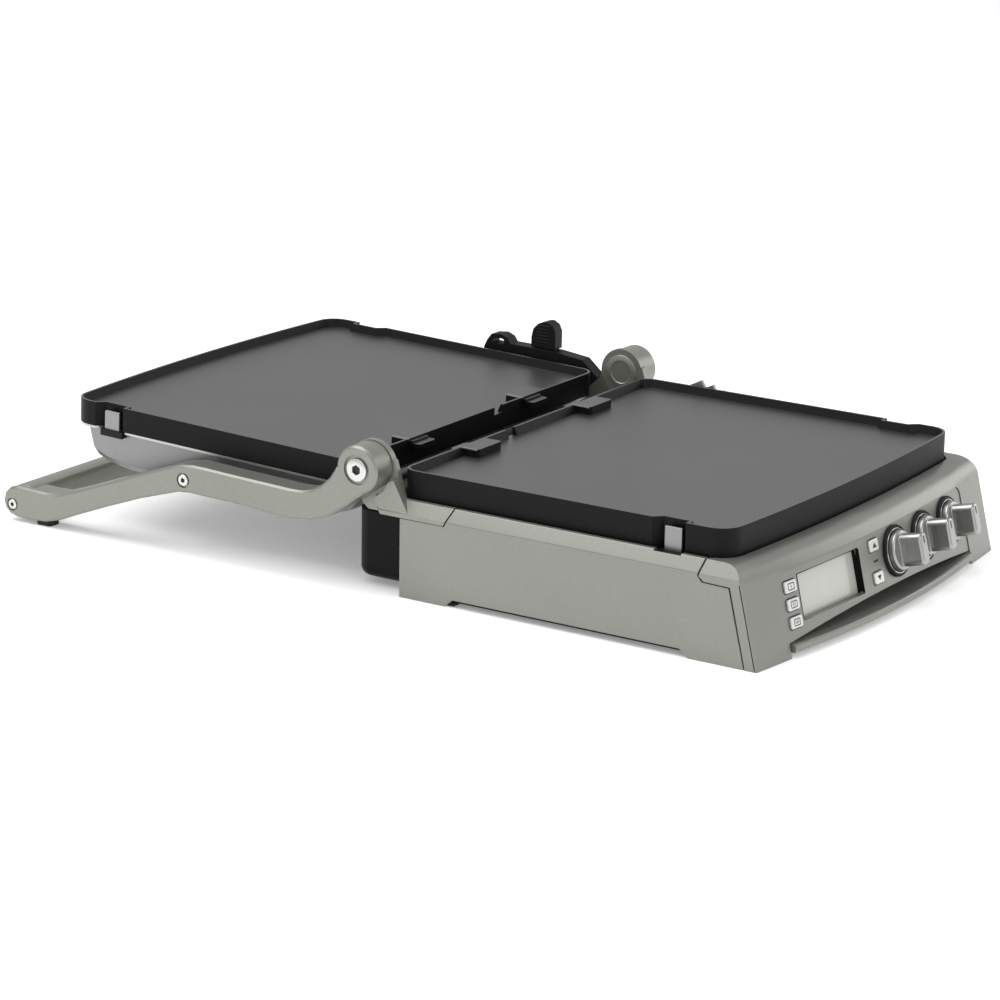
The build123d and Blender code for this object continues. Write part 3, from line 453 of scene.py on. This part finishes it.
# ---- operators ----
class GRILL_OT_stage(bpy.types.Operator):
    """Camera, pale floor and soft studio light"""
    bl_idname = "grill.stage"
    bl_label = "Stage"

    def execute(self, context):
        lens = bpy.data.cameras.new("Camera")
        lens.lens = 133.75
        lens.sensor_width = 36
        lens.clip_end = 100
        camera = bpy.data.objects.new("Camera", lens)
        camera.location = CAMERA_AT
        camera.rotation_euler = [math.radians(a) for a in CAMERA_TURN]
        context.scene.collection.objects.link(camera)
        context.scene.camera = camera
        ground = bpy.data.meshes.new("floor")
        ground.from_pydata([(-20, -20, 0), (20, -20, 0), (20, 20, 0), (-20, 20, 0)], [], [(0, 1, 2, 3)])
        floor = bpy.data.objects.new("floor", ground)
        context.scene.collection.objects.link(floor)
        pale = bpy.data.materials.new("studio_floor")
        pale.use_nodes = True
        shader = pale.node_tree.nodes["Principled BSDF"]
        shader.inputs["Base Color"].default_value = (0.94, 0.94, 0.94, 1)
        shader.inputs["Roughness"].default_value = 0.9
        shader.inputs["Specular IOR Level"].default_value = 0.1
        shader.inputs["Emission Color"].default_value = (1, 1, 1, 1)
        shader.inputs["Emission Strength"].default_value = 0.22
        ground.materials.append(pale)
        sky = bpy.data.worlds.new("studio")
        sky.use_nodes = True
        sky.node_tree.nodes["Background"].inputs[0].default_value = (1, 1, 1, 1)
        sky.node_tree.nodes["Background"].inputs[1].default_value = 0.62
        context.scene.world = sky
        context.scene.view_settings.view_transform = "Standard"
        for name, place, aim, size, power in (
                ("top", (-0.5, 0.9, 2.4), (0, 0, 0), 2.4, 58),
                ("front", (-0.9, -3.0, 1.7), (0, -0.1, 0.05), 1.8, 26),
                ("left", (-3.0, 0.9, 1.6), (0, 0.1, 0.05), 1.6, 3.5),
                ("right", (2.6, -1.2, 0.7), (0, -0.3, 0.05), 1.2, 9)):
            lamp = bpy.data.lights.new(name, "AREA")
            lamp.shape = "SQUARE"
            lamp.size = size
            lamp.energy = power
            held = bpy.data.objects.new(name, lamp)
            held.location = place
            held.rotation_euler = (Vector(aim) - Vector(place)).to_track_quat("-Z", "Y").to_euler()
            context.scene.collection.objects.link(held)
        FINISH.update(make_finishes())
        return {"FINISHED"}


class GRILL_OT_casing(bpy.types.Operator):
    """Painted steel of the base: side panels, bowed front, console and drip tray"""
    bl_idname = "grill.casing"
    bl_label = "Base casing"

    def execute(self, context):
        edge = settings().edge_round / MM
        for node in ("side_panel_left", "side_panel_right", "front_frame"):
            softened(node, edge, FINISH["paint"])
        softened("console_panel", 0.35, FINISH["paint"])
        softened("drip_tray", 0.5, FINISH["paint"])
        return {"FINISHED"}


class GRILL_OT_seams(bpy.types.Operator):
    """Dark joints down the front corners, where the bowed face meets the sides"""
    bl_idname = "grill.seams"
    bl_label = "Corner joints"

    def execute(self, context):
        shapes = []
        for side in (-1, 1):
            turn = math.asin(177 / FACE_R)
            foot = FACE_Y + FACE_R * (1 - math.cos(turn)) + FACE_SLOPE * SEAM_LOW + 1.3
            head = FACE_Y + FACE_R * (1 - math.cos(turn)) + FACE_SLOPE * SEAM_HIGH + 1.3
            rise = SEAM_HIGH - SEAM_LOW
            lean = Matrix.Rotation(-math.atan2(head - foot, rise), 4, "X")
            strip = prism(rounded(0.7, 0.9, 0.2), 0.0, math.hypot(rise, head - foot))
            shapes.append((strip, spot(side * SEAM_X, foot, SEAM_LOW, lean)))
        piece("corner_joints", shapes, FINISH["plastic"], "base")
        return {"FINISHED"}


class GRILL_OT_hinge_gap(bpy.types.Operator):
    """Caps on the hinge ears, bright strips that paint highlights along the plate tabs' edges, wiring
    sleeves and link plates between the two halves
    """
    bl_idname = "grill.hinge_gap"
    bl_label = "Hinge gap"

    def execute(self, context):
        cap = [(0, 0), (13.6, 0), (13.6, 0.5), (12.8, 1.1), (9.0, 1.3), (8.4, 0.8), (0, 0.8)]
        caps = [(lathe(cap, 48), spot(side * 165.7, 2.0, 90.8, Matrix.Rotation(side * -math.pi / 2, 4, "Y")))
                for side in (-1, 1)]
        piece("hinge_ear_caps", caps, FINISH["casting"], "base")
        # thin bright steel strips along the near edges of the plate tabs: painted highlights of those edges
        for body, y, z, lean in (("lower_plate", -26.4, 89.1, 0.0), ("upper_plate", 32.6, 87.9, 0.032)):
            tilt = Matrix.Rotation(lean, 4, "X")
            highlight_strips = [(prism(rounded(0.7, 15, 0.3), 0.0, 0.95), spot(x, y, z, tilt))
                      for x in (-91.75, 60.25)]
            piece(body + "_tab_edge_highlights", highlight_strips, FINISH["screw"], body)
        sleeves = []
        for x, long in ((-128, 44), (-20, 30), (92, 56), (140, 22)):
            half = long / 2
            tube = lathe([(0, -half), (3.0, -half), (3.4, 1 - half), (3.4, half - 1), (3.0, half),
                          (0, half)], 20)
            sleeves.append((tube, spot(x, 7.5, 73.0, Matrix.Rotation(math.pi / 2, 4, "Y"))))
        piece("wiring_sleeves", sleeves, FINISH["sleeve"], "base")
        blocks = []
        for x, y, z, wide, deep, tall in ((-104, -3, 70, 30, 15, 6.5), (-20, 2, 70, 44, 18, 5),
                                          (26, -4, 70, 26, 13, 7), (118, 1, 70, 34, 16, 6)):
            blocks.append((prism(rounded(wide, deep, 2.0), 0.0, tall), spot(x, y, z)))
            blocks.append((prism(rounded(wide * 0.6, deep * 0.5, 1.2), 0.0, tall + 1.6), spot(x, y, z)))
        piece("terminal_covers", blocks, FINISH["gloss"], "base")
        links = []
        for x, y, z, wide, deep in ((150, -4.0, 71.6, 12, 13), (163.0, -13.5, 70.6, 4.0, 12),
                                    (-160, -10.0, 70.4, 5, 14)):
            link = prism(rounded(wide, deep, 1.5), 0.0, 2.0, [rounded(3.0, 3.0, 1.4)])
            links.append((link, spot(x, y, z)))
        piece("link_plates", links, FINISH["screw"], "base")
        return {"FINISHED"}


class GRILL_OT_castings(bpy.types.Operator):
    """Painted castings: hinge caps, arms, handle and height rack"""
    bl_idname = "grill.castings"
    bl_label = "Castings"

    def execute(self, context):
        for node in ("hinge_bracket_left", "hinge_bracket_right"):
            softened(node, 0.8, FINISH["casting"])
        for node in ("arm_left", "arm_right"):
            softened(node, 1.4, FINISH["casting"], segments=3)
        softened("handle_bar", 1.0, FINISH["casting"], segments=3)
        softened("height_rack", 0.5, FINISH["casting"])
        return {"FINISHED"}


class GRILL_OT_plates(bpy.types.Operator):
    """Coated cooking plates with their steel clips and dark guides"""
    bl_idname = "grill.plates"
    bl_label = "Cooking plates"

    def execute(self, context):
        for node in ("lower_plate", "upper_plate"):
            mesh = softened(node, 0.6, FINISH["coating"]).data
            # the steep sides get a darker copy of the same coating: painted shade
            mesh.materials.append(FINISH["shaded_side_coating"])
            for face in mesh.polygons:
                face.material_index = int(abs(face.normal.z) < STEEP)
        for node in ("clip_base_left", "clip_base_right", "clip_lid_left", "clip_lid_right"):
            softened(node, 0.5, FINISH["clip"])
        for node in ("clip_sockets_base", "clip_sockets_lid"):
            coat_node(node, FINISH["plastic"])
        return {"FINISHED"}


class GRILL_OT_heaters(bpy.types.Operator):
    """Reflector pans and sheathed heating elements"""
    bl_idname = "grill.heaters"
    bl_label = "Pans and elements"

    def execute(self, context):
        for node in ("base_pan", "lid_pan"):
            coat_node(node, FINISH["sheet"])
        for node in ("base_element", "lid_element"):
            coat_node(node, FINISH["sheath"])
        return {"FINISHED"}


class GRILL_OT_lid(bpy.types.Operator):
    """Anodised lid shell, lever housing and release lever"""
    bl_idname = "grill.lid"
    bl_label = "Lid"

    def execute(self, context):
        softened("lid_shell", 1.0, FINISH["lid"])
        softened("lever_housing", 0.8, FINISH["plastic"])
        softened("release_lever", 0.6, FINISH["plastic"])
        softened("hinge_cover", 0.8, FINISH["plastic"])
        return {"FINISHED"}


class GRILL_OT_knobs(bpy.types.Operator):
    """Brushed knobs with pointer marks, in chrome and black rings"""
    bl_idname = "grill.knobs"
    bl_label = "Knobs"

    def execute(self, context):
        rings = []
        seats = []
        ring = [(15.3, -0.4), (15.3, 1.7), (15.6, 2.1), (16.2, 2.1), (16.5, 1.6), (16.5, -0.4)]
        seat = [(16.5, -0.6), (16.5, 1.2), (17.1, 1.9), (17.8, 1.9), (18.5, 0.9), (18.5, -0.6)]
        for index, x in enumerate(KNOB_XS):
            node = f"knob_{index + 1}"
            softened(node, 0.5, FINISH["knob"], segments=3)
            mark = prism(rounded(1.5, 5.6, 0.7), -0.3, 0.06)
            piece(node + "_pointer", [(mark, face_seat(x, KNOB_Z, 23.2) @ Matrix.Translation((0, 6.6, 0)))],
                  FINISH["mark"], body_with(node))
            rings.append((lathe(ring, 64), face_seat(x, KNOB_Z)))
            seats.append((lathe(seat, 64), face_seat(x, KNOB_Z)))
        chrome = piece("knob_rings", rings, FINISH["chrome"], "base")
        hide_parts("knob_bezels")
        piece("knob_ring_seats", seats, FINISH["plastic"], "base")
        return {"FINISHED"}


class GRILL_OT_buttons(bpy.types.Operator):
    """Silver buttons and their dark symbols"""
    bl_idname = "grill.buttons"
    bl_label = "Buttons"

    def execute(self, context):
        line = settings().glyph_line / MM
        for index, z in enumerate(MENU_ZS):
            node = f"button_{index + 1}"
            coat_node(node, FINISH["button"])
            place = face_seat(MENU_X, z, 1.0)
            inside = rounded(7.6 - 2 * line, 5.0 - 2 * line, 0.3)
            shapes = [(prism(rounded(7.6, 5.0, 0.8), -0.2, 0.05, [inside]), place)]
            for k in range(index + 1):
                shift = Matrix.Translation(((k - index / 2) * 1.7, 0, 0))
                shapes.append((prism(rounded(line, 2.2, 0.2), -0.2, 0.05), place @ shift))
            piece(node + "_symbol", shapes, FINISH["mark"], body_with(node))
        for node, z, way in (("button_up", ARROW_ZS[0], 1), ("button_down", ARROW_ZS[1], -1)):
            coat_node(node, FINISH["button"])
            arrow = prism([(-2.9, -1.7 * way), (2.9, -1.7 * way), (0, 2.0 * way)], -0.2, 0.05)
            piece(node + "_symbol", [(arrow, face_seat(ARROW_X, z, 1.0))], FINISH["mark"], body_with(node))
        rims = []
        for x, heights, wide, high in ((MENU_X, MENU_ZS, 15.0, 9.6), (ARROW_X, ARROW_ZS, 13.8, 9.8)):
            for z in heights:
                rim = prism(rounded(wide, high, 2.2), -0.9, -0.62, [rounded(wide - 1.1, high - 1.1, 1.7)])
                rims.append((rim, face_seat(x, z)))
        piece("button_surrounds", rims, FINISH["plastic"], "base")
        dash = prism(rounded(7.0, 1.6, 0.7), -0.1, 0.06)
        place = face_seat(-12.0, 38.0, -0.7)
        piece("console_dash", [(dash, place)], FINISH["mark"], "base")
        return {"FINISHED"}


class GRILL_OT_display(bpy.types.Operator):
    """Display glass in a dark liner"""
    bl_idname = "grill.display"
    bl_label = "Display"

    def execute(self, context):
        coat_node("display_window", FINISH["glass"])
        wide = 80.5
        high = 31.4 * 1.03      # the face leans, so its own height is a little more than the plain one
        hole = rounded(wide - 0.6, high - 0.6, 1.2)
        liner = prism(rounded(wide - 0.1, high - 0.1, 1.45), -7.0, -1.0, [hole])
        piece("display_liner", [(liner, face_seat(-73.75, 36.5))], FINISH["gloss"], "base")
        return {"FINISHED"}


class GRILL_OT_rear(bpy.types.Operator):
    """Rear housing with vent ribs, cord gland, tub and feet"""
    bl_idname = "grill.rear"
    bl_label = "Rear and underside"

    def execute(self, context):
        softened("rear_housing", 1.0, FINISH["gloss"])
        softened("base_tub", 0.4, FINISH["plastic"])
        softened("rubber_feet", 0.5, FINISH["rubber"])
        softened("cord_gland", 0.5, FINISH["rubber"])
        tree = rib_tree()
        low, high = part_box("rear_housing")
        count = settings().rib_count
        pitch = 7.5 * MM
        for side in (-1, 1):
            start = (side * 40 * MM, high[1] - 0.35 * MM, low[2] + (high[2] - low[2]) * 0.52)
            grown(f"rear_vents_{'left' if side < 0 else 'right'}", tree,
                  {"Count": count, "Start": start, "Step": (side * pitch, 0.0, 0.0), "Turn": (0.0, 0.0, 0.0),
                   "Radius": settings().rib_radius, "Length": 20 * MM, "Finish": FINISH["plastic"]},
                  [(0, 0, 0)], "base")
        low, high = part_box("release_lever")
        grown("lever_grip_ribs", tree,
              {"Count": 6, "Start": (low[0] + 0.25 * MM, (low[1] + high[1]) / 2, high[2] - 4 * MM),
               "Step": (0.0, 0.0, -2.6 * MM), "Turn": (math.pi / 2, 0.0, 0.0), "Radius": 0.7 * MM,
               "Length": (high[1] - low[1]) * 0.5, "Finish": FINISH["plastic"]},
              [(0, 0, 0)], "release_lever")
        coat_node("control_board", FINISH["board"])
        coat_node("encoders", FINISH["plastic"])
        return {"FINISHED"}


class GRILL_OT_screws(bpy.types.Operator):
    """Every visible screw head"""
    bl_idname = "grill.screws"
    bl_label = "Screws"

    def execute(self, context):
        tree = screw_tree()
        share = settings().socket_share
        for name, node, radius, rise in (("hinge", "hinge_screws", 8.2, 1.2),
                                         ("elbow", "elbow_screws", 4.2, 0.8),
                                         ("handle", "handle_screws", 3.7, 0.8)):
            low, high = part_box(node)
            middle = (low + high) / 2
            for side, x in ((-1, low[0]), (1, high[0])):
                seat = (x - side * (rise + 0.3) * MM, middle[1], middle[2])
                made = grown(f"{name}_screw_{'left' if side < 0 else 'right'}", tree,
                             {"Head radius": radius * MM, "Head height": rise * MM, "Socket share": share,
                              "Turn": (0.0, side * math.pi / 2, 0.0), "Head": FINISH["screw"],
                              "Recess": FINISH["mark"]}, [seat], body_with(node))
                if side > 0:
                    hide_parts(node)
        tops = [(x * MM, HINGE_Y * MM, 73.45 * MM) for x in (-118, -100, -52, -34, 34, 52, 100, 118)]
        grown("cover_screws", tree,
              {"Head radius": 2.1 * MM, "Head height": 0.4 * MM, "Socket share": 0.45,
               "Turn": (0.0, 0.0, 0.0), "Head": FINISH["screw"], "Recess": FINISH["mark"]},
              tops, "base")
        coat_node("base_screws", FINISH["screw"])
        coat_node("hinge_pins", FINISH["screw"])
        coat_node("handle_pads", FINISH["rubber"])
        return {"FINISHED"}


STEPS = (GRILL_OT_stage, GRILL_OT_casing, GRILL_OT_seams, GRILL_OT_castings, GRILL_OT_hinge_gap,
         GRILL_OT_plates, GRILL_OT_heaters, GRILL_OT_lid, GRILL_OT_knobs, GRILL_OT_buttons,
         GRILL_OT_display, GRILL_OT_rear, GRILL_OT_screws)


class GRILL_PT_panel(bpy.types.Panel):
    """Sidebar panel with the settings and one button for each step"""
    bl_idname = "GRILL_PT_panel"
    bl_label = "Grill"
    bl_space_type = "VIEW_3D"
    bl_region_type = "UI"
    bl_category = "Grill"

    def draw(self, context):
        for name in GrillSettings.__annotations__:
            self.layout.prop(context.scene.grill, name)
        for step in STEPS:
            self.layout.operator(step.bl_idname)


def register():
    """Registers the settings, the steps and the panel."""
    for kind in (GrillSettings, *STEPS, GRILL_PT_panel):
        bpy.utils.register_class(kind)
    bpy.types.Scene.grill = bpy.props.PointerProperty(type=GrillSettings)


def unregister():
    """Takes all of it away again."""
    del bpy.types.Scene.grill
    for kind in (GRILL_PT_panel, *reversed(STEPS), GrillSettings):
        bpy.utils.unregister_class(kind)


def main():
    """Runs every step in order."""
    register()
    for step in STEPS:
        family, name = step.bl_idname.split(".")
        getattr(getattr(bpy.ops, family), name)()


if __name__ == "__main__":
    main()
